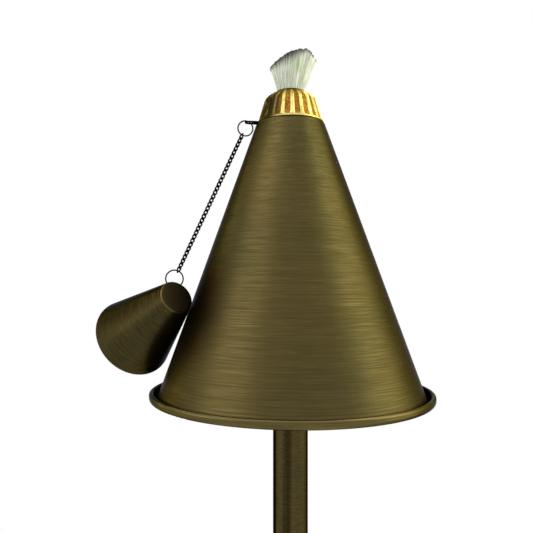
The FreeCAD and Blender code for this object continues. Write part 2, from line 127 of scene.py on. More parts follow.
def ramp(tree, factor, *stops):
    made = add(tree, "ShaderNodeValToRGB", {"Fac": factor})
    elements = made.color_ramp.elements
    while len(elements) < len(stops):
        elements.new(0.5)
    for element, (place, colour) in zip(elements, stops):
        element.position = place
        element.color = (*colour, 1)
    return made.outputs["Color"]


def dress(name, material):
    node = nodes[name]
    node.data.materials.clear()
    node.data.materials.append(material)


# %% [markdown]
# ## Floor, background and light
# Brushed metal is mostly a picture of what stands around it, so the lights are shaped first.
# A tall soft box on the left and a wider one far round on the right draw the two light bands that run up the cone,
# and the gap between them gives the darker middle. A weak, cool box stands behind the left side.
# The camera and sharp reflections see a white background, and everything else gets a greyer room light.

# %% World and floor
low_corner, high_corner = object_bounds()
world = bpy.data.worlds.new("studio")
bpy.context.scene.world = world
world.use_nodes = True
sky = world.node_tree
sky.nodes.clear()
rays = add(sky, "ShaderNodeLightPath")
room = add(sky, "ShaderNodeBackground", {"Color": (0.60, 0.62, 0.60, 1), "Strength": 1.45})
white = add(sky, "ShaderNodeBackground", {"Color": (1, 1, 1, 1), "Strength": 1.0})
seen = add(sky, "ShaderNodeMath", {0: rays.outputs["Is Camera Ray"], 1: rays.outputs["Is Transmission Ray"]},
           operation="MAXIMUM")
mirrored = add(sky, "ShaderNodeMath", {0: seen.outputs[0], 1: rays.outputs["Is Glossy Ray"]}, operation="MAXIMUM")
backdrop = add(sky, "ShaderNodeMixShader", {0: mirrored.outputs[0], 1: room.outputs[0], 2: white.outputs[0]})
add(sky, "ShaderNodeOutputWorld", {"Surface": backdrop.outputs[0]})

FLOOR_RADIUS = 2.6
FLOOR_SIDES = 96
floor_mesh = bpy.data.meshes.new("floor")
floor_edge = [(FLOOR_RADIUS * math.cos(math.tau * k / FLOOR_SIDES), FLOOR_RADIUS * math.sin(math.tau * k / FLOOR_SIDES),
               low_corner.z) for k in range(FLOOR_SIDES)]
floor_mesh.from_pydata(floor_edge, [], [list(range(FLOOR_SIDES))])
floor = bpy.data.objects.new("floor", floor_mesh)
bpy.context.scene.collection.objects.link(floor)
floor_paint, floor_tree, floor_shader = new_material("pale floor")
floor_shader.inputs["Base Color"].default_value = (0.86, 0.86, 0.85, 1)
floor_shader.inputs["Roughness"].default_value = 0.9
floor_mesh.materials.append(floor_paint)
print("floor at", round(low_corner.z, 3))

# %% Soft boxes
middle = Vector((0, 0, (cone_low.z + cone_high.z) / 2))


def soft_box(name, bearing, rise, distance, width, height, power, colour):
    """A rectangular lamp that faces the tank. The bearing is from the front, towards the right, in degrees."""
    light = bpy.data.lights.new(name, "AREA")
    light.shape = "RECTANGLE"
    light.size = width
    light.size_y = height
    light.energy = power
    light.color = colour
    lamp = bpy.data.objects.new(name, light)
    turn, up = math.radians(bearing), math.radians(rise)
    away = Vector((math.sin(turn) * math.cos(up), -math.cos(turn) * math.cos(up), math.sin(up)))
    lamp.location = middle + away * distance
    lamp.rotation_euler = away.to_track_quat("Z", "Y").to_euler()
    bpy.context.scene.collection.objects.link(lamp)


soft_box("left box", -62, 30, 1.5, 0.9, 2.4, 12, (1.0, 0.95, 0.86))
soft_box("right box", 84, 26, 1.5, 1.1, 2.4, 24, (1.0, 1.0, 0.72))
soft_box("cool box", -122, 6, 1.6, 0.5, 1.6, 6, (0.66, 0.72, 1.0))
soft_box("top box", -8, 74, 1.5, 0.8, 0.8, 3, (1, 1, 1))
soft_box("back box", 160, 40, 1.8, 1.2, 1.2, 10, (1, 1, 1))

# %% [markdown]
# ## Brushed, aged brass
# The tank, pan, snuffer and pole are spun or drawn brass, rubbed with an abrasive pad while they turn, then browned.
# The pad leaves fine rings around the axis. A noise that is squeezed along the profile and stretched around the axis
# gives them, and it needs no UV map, because it is worked out from Object coordinates.
# Each piece has its own axis, so a Mapping node first brings that axis upright to the origin.
# The shader is also anisotropic: its highlights spread across the scratches, as they do on real brushed metal.

# %% Coordinates about an axis
def about_axis(tree, point, direction):
    """Object coordinates with an axis brought upright to the origin: unit radial vector, radius and height."""
    coordinates = add(tree, "ShaderNodeTexCoord").outputs["Object"]
    turn = Vector(direction).rotation_difference(Vector((0, 0, 1)))
    shift = -(turn @ Vector(point))
    local = add(tree, "ShaderNodeMapping", {"Vector": coordinates, "Location": shift, "Rotation": turn.to_euler()})
    flat = add(tree, "ShaderNodeVectorMath", {0: local.outputs[0], 1: (1, 1, 0)}, operation="MULTIPLY")
    unit = add(tree, "ShaderNodeVectorMath", {0: flat.outputs[0]}, operation="NORMALIZE")
    radius = add(tree, "ShaderNodeVectorMath", {0: flat.outputs[0]}, operation="LENGTH")
    height = add(tree, "ShaderNodeSeparateXYZ", {0: local.outputs[0]}).outputs["Z"]
    return unit.outputs[0], radius.outputs["Value"], height


def ring_noise(tree, place, around, along, detail, offset=0.0):
    """Noise stretched around the axis: 'around' sets how fast it changes along a ring, 'along' across the rings."""
    unit, radius, height = place
    profile = add(tree, "ShaderNodeMath", {0: height, 1: radius}, operation="SUBTRACT")
    scaled = add(tree, "ShaderNodeMath", {0: profile.outputs[0], 1: along, 2: offset}, operation="MULTIPLY_ADD")
    swept = add(tree, "ShaderNodeVectorMath", {0: unit, "Scale": around}, operation="SCALE")
    lifted = add(tree, "ShaderNodeCombineXYZ", {"Z": scaled.outputs[0]})
    spot = add(tree, "ShaderNodeVectorMath", {0: swept.outputs[0], 1: lifted.outputs[0]}, operation="ADD")
    return add(tree, "ShaderNodeTexNoise", {"Vector": spot.outputs[0], "Scale": 1.0, "Detail": detail,
                                            "Roughness": 0.6}).outputs["Fac"]


def between(tree, value, low, high, to_low=0.0, to_high=1.0):
    return add(tree, "ShaderNodeMapRange", {"Value": value, "From Min": low, "From Max": high, "To Min": to_low,
                                            "To Max": to_high}, interpolation_type="SMOOTHSTEP").outputs[0]


def blended(tree, factor, first, second, mode="MIX"):
    made = add(tree, "ShaderNodeMix", {0: factor, 6: first, 7: second}, data_type="RGBA", blend_type=mode)
    return made.outputs[2]


# %% [markdown]
# ## One brass for all turned pieces
# Two noises of different fineness, mixed, choose between three browns, and a slow third one clouds them.
# The pieces differ in axis, shade and polish, so these are the function's arguments.

# %% Brushed brass
BRASS_DARK = (0.049, 0.039, 0.0145)
BRASS_MIDDLE = (0.068, 0.055, 0.0210)
BRASS_LIGHT = (0.099, 0.082, 0.0330)


def brushed_brass(name, point=(0, 0, 0), direction=(0, 0, 1), shade=1.0, contrast=1.0, roughness=0.36):
    """Browned brass with rings of brush marks about an axis. Returns what a caller needs to add its own painted shade
    and highlights.
    """
    material, tree, shader = new_material(name)
    place = about_axis(tree, point, direction)
    hair = ring_noise(tree, place, 4.0, 2600, 2.0)
    line = ring_noise(tree, place, 1.4, 900, 2.0, 31.0)
    cloud = ring_noise(tree, place, 1.3, 9, 2.0, 7.0)
    marks = add(tree, "ShaderNodeMix", {0: 0.4, 2: hair, 3: line}, data_type="FLOAT").outputs[0]
    spread = 0.17 / contrast
    colour = ramp(tree, marks, (0.5 - spread, [c * shade for c in BRASS_DARK]),
                  (0.5, [c * shade for c in BRASS_MIDDLE]), (0.5 + spread, [c * shade for c in BRASS_LIGHT]))
    stain = ramp(tree, cloud, (0.35, (0.84, 0.86, 0.86)), (0.65, (1.1, 1.04, 0.96)))
    colour = blended(tree, 1.0, colour, stain, "MULTIPLY")
    rough = between(tree, marks, 0.3, 0.7, roughness + 0.05, roughness - 0.05)
    bump = add(tree, "ShaderNodeBump", {"Height": hair, "Strength": 0.15, "Distance": 0.0002})
    tree.links.new(colour, shader.inputs["Base Color"])
    tree.links.new(rough, shader.inputs["Roughness"])
    tree.links.new(bump.outputs[0], shader.inputs["Normal"])
    shader.inputs["Metallic"].default_value = 1.0
    shader.inputs["Anisotropic"].default_value = 0.35
    shader.inputs["Specular Tint"].default_value = (0.27, 0.29, 0.34, 1)
    return material, tree, shader, place, colour


# %% [markdown]
# ## The snuffer's painted shadow
# The snuffer's shadow and dark reflection on the cone are painted into its colour as a dark patch. The distance from
# one point, squeezed in height, makes an upright oval, and a Map Range turns it into a painted dark patch with a soft
# edge.

# %% Brass of the tank
upright_brass, cone_tree, cone_shader, _, cone_colour = brushed_brass("brushed brass")
SNUFFER_SHADOW_SPOT = Vector((-0.072, -0.040, 1.312))          # where the snuffer hangs against the cone
shadow_offset = add(cone_tree, "ShaderNodeVectorMath", {
    0: add(cone_tree, "ShaderNodeTexCoord").outputs["Object"], 1: SNUFFER_SHADOW_SPOT}, operation="SUBTRACT")
shadow_squeezed = add(cone_tree, "ShaderNodeVectorMath", {0: shadow_offset.outputs[0], 1: (1, 1, 0.62)}, operation="MULTIPLY")
shadow_distance = add(cone_tree, "ShaderNodeVectorMath", {0: shadow_squeezed.outputs[0]}, operation="LENGTH").outputs["Value"]
# Painted shade: the snuffer's shadow and reflection, laid on the cone's colour as a dark patch.
painted_snuffer_shadow = between(cone_tree, shadow_distance, 0.042, 0.010, 0.0, 0.85)
cone_tree.links.new(blended(cone_tree, painted_snuffer_shadow, cone_colour, (0.014, 0.008, 0.004, 1)), cone_shader.inputs["Base Color"])
for name in ("cone_shell", "neck_ring", "pole_socket", "lower_coupler", "upper_coupler", "foot_plate", "wick_tube"):
    dress(name, upright_brass)

# %% [markdown]
# ## Drawn tube
# A tube is pulled through a die, so it has marks along it as well as round it. Noise that changes fast across
# the pole and slowly along it gives them.

# %% Brass of the pole
pole_brass, pole_tree, pole_shader, _, pole_colour = brushed_brass("pole brass", shade=0.80, roughness=0.24)
drawn_at = add(pole_tree, "ShaderNodeMapping", {"Vector": add(pole_tree, "ShaderNodeTexCoord").outputs["Object"],
                                                "Scale": (190, 190, 1.5)})
drawn = add(pole_tree, "ShaderNodeTexNoise", {"Vector": drawn_at.outputs[0], "Scale": 1.0,
                                              "Detail": 1.0}).outputs["Fac"]
drawn_dark = ramp(pole_tree, drawn, (0.40, (0.45, 0.43, 0.42)), (0.58, (1.15, 1.13, 1.10)))
pole_tree.links.new(blended(pole_tree, 1.0, pole_colour, drawn_dark, "MULTIPLY"), pole_shader.inputs["Base Color"])
for name in ("pole_bottom", "pole_middle", "pole_top"):
    dress(name, pole_brass)

# %% [markdown]
# ## A lighter pan, and painted shade in the gutter
# The pan's rim is rolled inwards, and the gutter behind it lies in shade, which is painted in as a nearly black colour.
# The same brass gets that second, dark colour there. Where it goes is decided by the distance from the axis,
# which suits a turned piece better than painted weights, because it has no resolution and no seam.

# %% Pan
# Painted light: the pan's brass is a copy of the tank's made 1.45 times lighter, so that its rim looks brightly lit.
pan_brass_with_painted_light, pan_tree, pan_shader, pan_place, pan_colour = brushed_brass("pan brass with painted light", shade=1.45, roughness=0.30)
pan_low, pan_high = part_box("base_pan")
GUTTER_EDGE = pan_high.x - 3.1 * MM
in_gutter = between(pan_tree, pan_place[1], GUTTER_EDGE + 0.8 * MM, GUTTER_EDGE)
above_floor = between(pan_tree, pan_place[2], pan_low.z + 0.2 * MM, pan_low.z + 0.8 * MM)
# Painted shade: nearly black in the gutter behind the rolled rim.
painted_gutter_shade = add(pan_tree, "ShaderNodeMath", {0: in_gutter, 1: above_floor}, operation="MULTIPLY").outputs[0]
pan_tree.links.new(blended(pan_tree, painted_gutter_shade, pan_colour, (0.012, 0.010, 0.007, 1)), pan_shader.inputs["Base Color"])
dress("base_pan", pan_brass_with_painted_light)

# %% [markdown]
# ## The snuffer's own axis
# The snuffer hangs askew, so its brush marks run about its own axis, from the mouth to the closed end.
# The closed end is a flat disc that is painted darker, with a painted highlight ring around it where its rounded edge
# catches the light.

# %% Snuffer
SNUFFER_AXIS = Vector((0.5736, -0.6703, 0.4708)).normalized()


def along_axis(name, axis):
    """Least and greatest reach of a piece along a direction."""
    reaches = [vertex.co.dot(axis) for vertex in nodes[name].data.vertices]
    return min(reaches), max(reaches)


def axis_point(name, axis):
    """A point on a turned piece's axis: the middle of the rim at its near end."""
    vertices = nodes[name].data.vertices
    first, _ = along_axis(name, axis)
    ring = [v.co for v in vertices if v.co.dot(axis) < first + 0.3 * MM]
    return sum(ring, Vector()) / len(ring)


snuffer_mouth = axis_point("snuffer", SNUFFER_AXIS)
mouth_reach, end_reach = along_axis("snuffer", SNUFFER_AXIS)
snuffer_brass, snuffer_tree, snuffer_shader, snuffer_place, snuffer_colour = brushed_brass(
    "snuffer brass", snuffer_mouth, SNUFFER_AXIS, shade=0.66, contrast=1.2)
end_height = end_reach - mouth_reach
on_end = between(snuffer_tree, snuffer_place[2], end_height - 0.5 * MM, end_height - 0.2 * MM)
near_edge = between(snuffer_tree, snuffer_place[2], end_height - 1.3 * MM, end_height - 0.7 * MM)
# Painted highlight: a bright ring just below the closed end, where the rounded edge would catch the light.
painted_edge_highlight = blended(snuffer_tree, near_edge, snuffer_colour, (0.11, 0.082, 0.028, 1))
dark_end = blended(snuffer_tree, on_end, painted_edge_highlight, (0.026, 0.020, 0.010, 1))
snuffer_tree.links.new(dark_end, snuffer_shader.inputs["Base Color"])
dress("snuffer", snuffer_brass)
print("snuffer is", round(end_height / MM, 1), "mm long")

# %% [markdown]
# ## Dark bronze, steel and rubber
# The chain, its rings and the washer's ear are small, so they are blackened all over and only their edges shine.
# A fine noise breaks the colour up, as handling does.

# %% Dark metals
def dark_metal(name, colour, worn_colour, roughness):
    material, tree, shader = new_material(name)
    spots = add(tree, "ShaderNodeTexNoise", {"Vector": add(tree, "ShaderNodeTexCoord").outputs["Object"],
                                            "Scale": 900.0, "Detail": 4.0}).outputs["Fac"]
    tree.links.new(ramp(tree, spots, (0.45, colour), (0.72, worn_colour)), shader.inputs["Base Color"])
    tree.links.new(between(tree, spots, 0.3, 0.7, roughness + 0.12, roughness - 0.06), shader.inputs["Roughness"])
    shader.inputs["Metallic"].default_value = 1.0
    shader.inputs["Specular Tint"].default_value = (0.2, 0.15, 0.1, 1)
    return material


bronze = dark_metal("dark bronze", (0.011, 0.008, 0.005), (0.045, 0.030, 0.016), 0.36)
for name in ("upper_ring", "lower_ring", "chain_washer"):
    dress(name, bronze)
screw_steel = dark_metal("bronzed steel", (0.12, 0.095, 0.06), (0.3, 0.24, 0.14), 0.34)
for name in ("spike_screw", "pole_screws", "socket_screws"):
    dress(name, screw_steel)
dress("ground_spike", dark_metal("spike paint", (0.045, 0.038, 0.028), (0.08, 0.068, 0.05), 0.5))

rubber, rubber_tree, rubber_shader = new_material("gasket rubber")
rubber_dust = add(rubber_tree, "ShaderNodeTexNoise", {"Scale": 400.0}).outputs["Fac"]
rubber_tree.links.new(ramp(rubber_tree, rubber_dust, (0.3, (0.012, 0.012, 0.012)), (0.8, (0.04, 0.04, 0.038))),
                      rubber_shader.inputs["Base Color"])
rubber_shader.inputs["Roughness"].default_value = 0.7
dress("burner_gasket", rubber)

# %% [markdown]
# ## The chain
# The snuffer hangs on a curb chain: every link is an oval of wire whose two ends are twisted against each other,
# so that the links lie in line instead of standing crosswise. It could be modelled link by link and copied,
# but a chain is one shape that repeats along a line, so Geometry Nodes make it.
# One twisted link is bent out of a circle, and an instance of it goes on each point of a line.
# The chain moves in six stretches, so the same tree is used six times, with another first link each time.

# %% A small kit for Geometry Nodes
def node_group(name, inputs):
    """A new Geometry Nodes tree with a geometry in and out, and named inputs: (name, socket type, value)."""
    tree = bpy.data.node_groups.new(name, "GeometryNodeTree")
    tree.interface.new_socket("Geometry", in_out="INPUT", socket_type="NodeSocketGeometry")
    for label, kind, value in inputs:
        socket = tree.interface.new_socket(label, in_out="INPUT", socket_type="NodeSocket" + kind)
        if value is not None:
            socket.default_value = value
    tree.interface.new_socket("Geometry", in_out="OUTPUT", socket_type="NodeSocketGeometry")
    return tree, tree.nodes.new("NodeGroupInput").outputs


def give_out(tree, geometry, material):
    """Ends a tree: real geometry, one material, and the way out."""
    real = add(tree, "GeometryNodeRealizeInstances", {"Geometry": geometry})
    painted = add(tree, "GeometryNodeSetMaterial", {"Geometry": real.outputs[0], "Material": material})
    add(tree, "NodeGroupOutput", {0: painted.outputs[0]})


def maths(tree, operation, *values):
    """The result of one Math node."""
    return add(tree, "ShaderNodeMath", dict(enumerate(values)), operation=operation).outputs[0]


def grown(name, tree, values, body, replaced=(), start=None):
    """Runs a tree on a new object, keeps the result as a plain mesh, and puts the piece on its body."""
    seed = bpy.data.objects.new(name + "_seed", start or bpy.data.meshes.new(name + "_seed"))
    bpy.context.scene.collection.objects.link(seed)
    modifier = seed.modifiers.new("grow", "NODES")
    modifier.node_group = tree
    for socket in tree.interface.items_tree:
        if socket.in_out == "INPUT" and socket.name in values:
            modifier[socket.identifier] = values[socket.name]
    evaluated = seed.evaluated_get(bpy.context.evaluated_depsgraph_get())
    mesh = bpy.data.meshes.new_from_object(evaluated)
    mesh.name = name
    seed.modifiers.clear()
    bpy.data.objects.remove(seed)
    piece = bpy.data.objects.new(name, mesh)
    bpy.context.scene.collection.objects.link(piece)
    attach(piece, body)
    if replaced:
        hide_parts(*replaced)
    return piece


# %% One twisted link, repeated along a line
LINK_WIRE_R = 0.56 * MM
LINK_PITCH = 3.2 * MM
LINK_HALF_LENGTH = 2.25 * MM        # of the wire's middle line
LINK_HALF_WIDTH = 1.12 * MM
LINK_TWIST = math.radians(58)       # of each end against the link's middle
LINK_COUNT = 34
RUN_COUNT = 6

chain_tree, given = node_group("curb chain", (
    ("First centre", "Vector", None), ("Down", "Vector", None), ("Side", "Vector", None), ("Links", "Int", 6),
    ("Pitch", "Float", LINK_PITCH), ("First turn", "Float", 0.0), ("Turn step", "Float", 0.0),
    ("Half length", "Float", LINK_HALF_LENGTH), ("Half width", "Float", LINK_HALF_WIDTH),
    ("Twist", "Float", LINK_TWIST), ("Wire radius", "Float", LINK_WIRE_R), ("Material", "Material", None)))
hoop = add(chain_tree, "GeometryNodeCurvePrimitiveCircle", {"Resolution": 18, "Radius": 1.0}, mode="RADIUS")
hoop_at = add(chain_tree, "ShaderNodeSeparateXYZ", {0: add(chain_tree, "GeometryNodeInputPosition").outputs[0]}).outputs
twist = maths(chain_tree, "MULTIPLY", hoop_at["Y"], given["Twist"])
reach = maths(chain_tree, "MULTIPLY", hoop_at["X"], given["Half width"])
oval = add(chain_tree, "ShaderNodeCombineXYZ", {
    "X": maths(chain_tree, "MULTIPLY", reach, maths(chain_tree, "COSINE", twist)),
    "Y": maths(chain_tree, "MULTIPLY", reach, maths(chain_tree, "SINE", twist)),
    "Z": maths(chain_tree, "MULTIPLY", hoop_at["Y"], given["Half length"])})
bent = add(chain_tree, "GeometryNodeSetPosition", {"Geometry": hoop.outputs[0], "Position": oval.outputs[0]})
section = add(chain_tree, "GeometryNodeCurvePrimitiveCircle", {"Resolution": 7, "Radius": given["Wire radius"]},
              mode="RADIUS")
one_link = add(chain_tree, "GeometryNodeCurveToMesh", {"Curve": bent.outputs[0], "Profile Curve": section.outputs[0]})
step = add(chain_tree, "ShaderNodeVectorMath", {0: given["Down"], "Scale": given["Pitch"]}, operation="SCALE")
line = add(chain_tree, "GeometryNodeMeshLine", {"Count": given["Links"], "Start Location": given["First centre"],
                                                "Offset": step.outputs[0]}, mode="OFFSET")
number = add(chain_tree, "GeometryNodeInputIndex").outputs[0]
turn = maths(chain_tree, "MULTIPLY_ADD", number, given["Turn step"], given["First turn"])
hang = add(chain_tree, "FunctionNodeAxesToRotation", {"Primary Axis": given["Down"], "Secondary Axis": given["Side"]},
           primary_axis="Z", secondary_axis="X")
about = add(chain_tree, "FunctionNodeAxisAngleToRotation", {"Axis": (0, 0, 1), "Angle": turn})
turned = add(chain_tree, "FunctionNodeRotateRotation", {"Rotation": hang.outputs[0], "Rotate By": about.outputs[0]},
             rotation_space="LOCAL")
links = add(chain_tree, "GeometryNodeInstanceOnPoints", {"Points": line.outputs[0], "Instance": one_link.outputs[0],
                                                         "Rotation": turned.outputs[0]})
smooth_links = add(chain_tree, "GeometryNodeSetShadeSmooth", {"Geometry": links.outputs[0]})
give_out(chain_tree, smooth_links.outputs[0], given["Material"])

# %% The six stretches of chain
upper_ring_centre = Vector(joint["chain_round_upper_ring"]["pos_m"])
lower_ring_centre = Vector(joint["lower_ring_swing"]["pos_m"])
ring_axis = -Vector(joint["lower_ring_swing"]["axis"])
chain_down = (lower_ring_centre - upper_ring_centre).normalized()
chain_middle = (upper_ring_centre + lower_ring_centre) / 2
upper_r = (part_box("upper_ring")[1].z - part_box("upper_ring")[0].z) / 2
lower_r = (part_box("lower_ring")[1].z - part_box("lower_ring")[0].z) / 2
chain_middle += chain_down * (upper_r - lower_r) / 2
first_centre = chain_middle - chain_down * LINK_PITCH * (LINK_COUNT - 1) / 2
TURN_STEP = (math.pi - 2 * LINK_TWIST) / (LINK_COUNT - 1)   # both end links stand square to their rings
chain_bronze = dark_metal("chain bronze", (0.0035, 0.0022, 0.0015), (0.022, 0.012, 0.006), 0.30)
for run in range(RUN_COUNT):
    first, after = (round(n * LINK_COUNT / RUN_COUNT) for n in (run, run + 1))
    stretch = grown(f"chain_links_{run + 1}", chain_tree, {
        "First centre": first_centre + chain_down * LINK_PITCH * first, "Down": chain_down, "Side": ring_axis,
        "Links": after - first, "First turn": LINK_TWIST + first * TURN_STEP, "Turn step": TURN_STEP,
        "Material": chain_bronze}, f"chain_run_{run + 1}", (f"chain_run_{run + 1}",))
    print(stretch.name, "has", after - first, "links and", len(stretch.data.polygons), "faces")

# %% [markdown]
# ## The wick
# The wick is a cord of glass fibre. Where it stands out of the cap it has frayed, and its bundles spread into a fan
# with a slanting, singed top. A smooth lump can't show that, so the piece is hundreds of strands over a plain core.
# Each strand starts inside the tube, spreads as it rises and ends on the slanting top, so its path is a rule:
# an angle around the wick, a depth in it, and a height.
# Geometry Nodes work the rule out for every point of every strand.

# %% Shape of the frayed head
wick_low, wick_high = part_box("wick")
collar_low, collar_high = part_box("collar")
WICK_R = 9.3 * MM
FRAY_START = collar_high.z - 1.0 * MM
RIDGE_X = 12.0 * MM
LEFT_REACH, LEFT_DROP = 28.8 * MM, 13.8 * MM     # from the ridge to the left corner
RIGHT_REACH, RIGHT_DROP = 7.7 * MM, 8.0 * MM
FAN_MIDDLE = 2.2 * MM
FAN_HALF_WIDE = 18.2 * MM
FAN_HALF_DEEP = 8.8 * MM
RIDGE_Z = wick_high.z - 0.3 * MM
FAN_CURVE = 1.25                    # above 1, the fan opens late


def cut_height(x):
    """Height of the slanting cut above a point across the wick."""
    left = max(0.0, (RIDGE_X - x) / LEFT_REACH)
    right = max(0.0, (x - RIDGE_X) / RIGHT_REACH)
    return RIDGE_Z - LEFT_DROP * left * left - RIGHT_DROP * right


def wick_point(angle, depth, rise):
    """The same rule as the strands follow, for the core."""
    along, across = math.cos(angle), math.sin(angle)
    top_x = FAN_MIDDLE + FAN_HALF_WIDE * depth * along
    spread = rise ** FAN_CURVE
    x = WICK_R * depth * along * (1 - spread) + top_x * spread
    y = (WICK_R * (1 - spread) + FAN_HALF_DEEP * spread) * depth * across
    return Vector((x, y, FRAY_START + (cut_height(top_x) - FRAY_START) * rise))


# %% Core and cord
CORE_SIDES = 40
CORE_DEPTH = 0.965                  # share of the wick's radius that the core fills


def ringed_solid(name, rings):
    """A closed mesh from rings of points, with a fan of faces on each end."""
    mesh = bpy.data.meshes.new(name)
    count = len(rings[0])
    points = [point for ring in rings for point in ring]
    faces = [[r * count + k, r * count + (k + 1) % count, (r + 1) * count + (k + 1) % count, (r + 1) * count + k]
             for r in range(len(rings) - 1) for k in range(count)]
    for ring, way in ((0, -1), (len(rings) - 1, 1)):
        points.append(sum(rings[ring], Vector()) / count)
        corners = [(ring * count + k, ring * count + (k + 1) % count) for k in range(count)]
        faces += [[a, b, len(points) - 1][::way] for a, b in corners]
    mesh.from_pydata(points, [], faces)
    return mesh


def outward(mesh):
    """Merges doubles and turns all faces of a closed mesh outwards."""
    tidy = bmesh.new()
    tidy.from_mesh(mesh)
    bmesh.ops.remove_doubles(tidy, verts=tidy.verts, dist=0.001 * MM)
    bmesh.ops.recalc_face_normals(tidy, faces=tidy.faces)
    tidy.to_mesh(mesh)
    tidy.free()
    return mesh


around = [math.tau * k / CORE_SIDES for k in range(CORE_SIDES)]
CORD_CORE_R = 7.8 * MM
cord_profile = ((CORD_CORE_R, wick_low.z), (CORD_CORE_R, FRAY_START - 2 * MM), (WICK_R * CORE_DEPTH, FRAY_START))
cord_rings = [[Vector((r * math.cos(a), r * math.sin(a), z)) for a in around] for r, z in cord_profile]
HEAD_RISES = (0.12, 0.25, 0.4, 0.55, 0.7, 0.85, 0.975)
head_rings = [[wick_point(a, CORE_DEPTH, rise) for a in around] for rise in HEAD_RISES]
top_rings = [[wick_point(a, CORE_DEPTH * inner, 0.985) for a in around] for inner in (0.7, 0.35)]
core_mesh = outward(ringed_solid("wick_core", cord_rings + head_rings + top_rings))
print("wick stands", round((wick_high.z - collar_high.z) / MM, 1), "mm out of the cap")

# %% Strands
STRAND_COUNT = 260
STRAND_POINTS = 9
STRAND_R = 0.85 * MM

strand_tree, given = node_group("frayed strands", (
    ("Strands", "Int", STRAND_COUNT), ("Strand radius", "Float", STRAND_R), ("Seed", "Int", 3),
    ("Wander", "Float", 1.6 * MM), ("Cord radius", "Float", WICK_R), ("Material", "Material", None)))


def ranged(tree, low, high, number, salt):
    made = add(tree, "FunctionNodeRandomValue", {"ID": number, "Seed": salt}, data_type="FLOAT")
    made.inputs[2].default_value, made.inputs[3].default_value = low, high
    return made.outputs[1]


roots = add(strand_tree, "GeometryNodePoints", {"Count": given["Strands"]})
stalk = add(strand_tree, "GeometryNodeMeshLine", {"Count": STRAND_POINTS, "Offset": (0, 0, 1 / (STRAND_POINTS - 1))},
            mode="OFFSET")
stalk_curve = add(strand_tree, "GeometryNodeMeshToCurve", {"Mesh": stalk.outputs[0]})
planted = add(strand_tree, "GeometryNodeInstanceOnPoints", {"Points": roots.outputs[0],
                                                            "Instance": stalk_curve.outputs[0]})
loose = add(strand_tree, "GeometryNodeRealizeInstances", {"Geometry": planted.outputs[0]})
stalk_at = add(strand_tree, "GeometryNodeInputPosition").outputs[0]
rise = add(strand_tree, "ShaderNodeSeparateXYZ", {0: stalk_at}).outputs["Z"]
point_number = add(strand_tree, "GeometryNodeInputIndex").outputs[0]
strand_number = maths(strand_tree, "FLOOR", maths(strand_tree, "DIVIDE", maths(strand_tree, "ADD", point_number, 0.5),
                                                  float(STRAND_POINTS)))
free_angle = ranged(strand_tree, 0.0, math.tau, strand_number, given["Seed"])
gathered = maths(strand_tree, "SINE", maths(strand_tree, "MULTIPLY_ADD", free_angle, 7.0, 1.9))
angle = maths(strand_tree, "MULTIPLY_ADD", gathered, 0.10, free_angle)
area = ranged(strand_tree, 0.78, 0.86, strand_number, maths(strand_tree, "ADD", given["Seed"], 1))
depth = maths(strand_tree, "MULTIPLY", maths(strand_tree, "SQRT", area),
              maths(strand_tree, "MULTIPLY_ADD", gathered, 0.015, 0.985))
full_rise = maths(strand_tree, "MULTIPLY", rise,
                  ranged(strand_tree, 0.985, 1.0, strand_number, maths(strand_tree, "ADD", given["Seed"], 2)))
spread = maths(strand_tree, "POWER", full_rise, FAN_CURVE)
straight = maths(strand_tree, "SUBTRACT", 1.0, spread)
along = maths(strand_tree, "MULTIPLY", maths(strand_tree, "COSINE", angle), depth)
across = maths(strand_tree, "MULTIPLY", maths(strand_tree, "SINE", angle), depth)
top_x = maths(strand_tree, "MULTIPLY_ADD", along, FAN_HALF_WIDE, FAN_MIDDLE)
foot_x = maths(strand_tree, "MULTIPLY", along, given["Cord radius"])
foot_y = maths(strand_tree, "MULTIPLY", across, given["Cord radius"])
head_x = maths(strand_tree, "MULTIPLY_ADD", foot_x, straight, maths(strand_tree, "MULTIPLY", top_x, spread))
head_y = maths(strand_tree, "MULTIPLY_ADD", foot_y, straight,
               maths(strand_tree, "MULTIPLY", maths(strand_tree, "MULTIPLY", across, FAN_HALF_DEEP), spread))
left = maths(strand_tree, "MAXIMUM", maths(strand_tree, "DIVIDE", maths(strand_tree, "SUBTRACT", RIDGE_X, top_x),
                                           LEFT_REACH), 0.0)
right = maths(strand_tree, "MAXIMUM", maths(strand_tree, "DIVIDE", maths(strand_tree, "SUBTRACT", top_x, RIDGE_X),
                                            RIGHT_REACH), 0.0)
drop = maths(strand_tree, "MULTIPLY_ADD", maths(strand_tree, "MULTIPLY", left, left), LEFT_DROP,
             maths(strand_tree, "MULTIPLY", right, RIGHT_DROP))
cut = maths(strand_tree, "SUBTRACT", RIDGE_Z - FRAY_START, drop)
head_z = maths(strand_tree, "MULTIPLY_ADD", cut, full_rise, FRAY_START)
wander_at = add(strand_tree, "ShaderNodeCombineXYZ", {"X": strand_number,
                                                      "Z": maths(strand_tree, "MULTIPLY", rise, 1.6)})
wander = add(strand_tree, "ShaderNodeTexNoise", {"Vector": wander_at.outputs[0], "Scale": 1.0, "Detail": 1.0})
sway = add(strand_tree, "ShaderNodeVectorMath", {0: wander.outputs["Color"], 1: (0.5, 0.5, 0.5)}, operation="SUBTRACT")
sway_scaled = add(strand_tree, "ShaderNodeVectorMath", {0: sway.outputs[0], 1: (1, 1, 0)}, operation="MULTIPLY")
sway_size = maths(strand_tree, "MULTIPLY", given["Wander"], rise)
sway_final = add(strand_tree, "ShaderNodeVectorMath", {0: sway_scaled.outputs[0], "Scale": sway_size},
                 operation="SCALE")
rule = add(strand_tree, "ShaderNodeCombineXYZ", {"X": head_x, "Y": head_y, "Z": head_z})
final = add(strand_tree, "ShaderNodeVectorMath", {0: rule.outputs[0], 1: sway_final.outputs[0]}, operation="ADD")
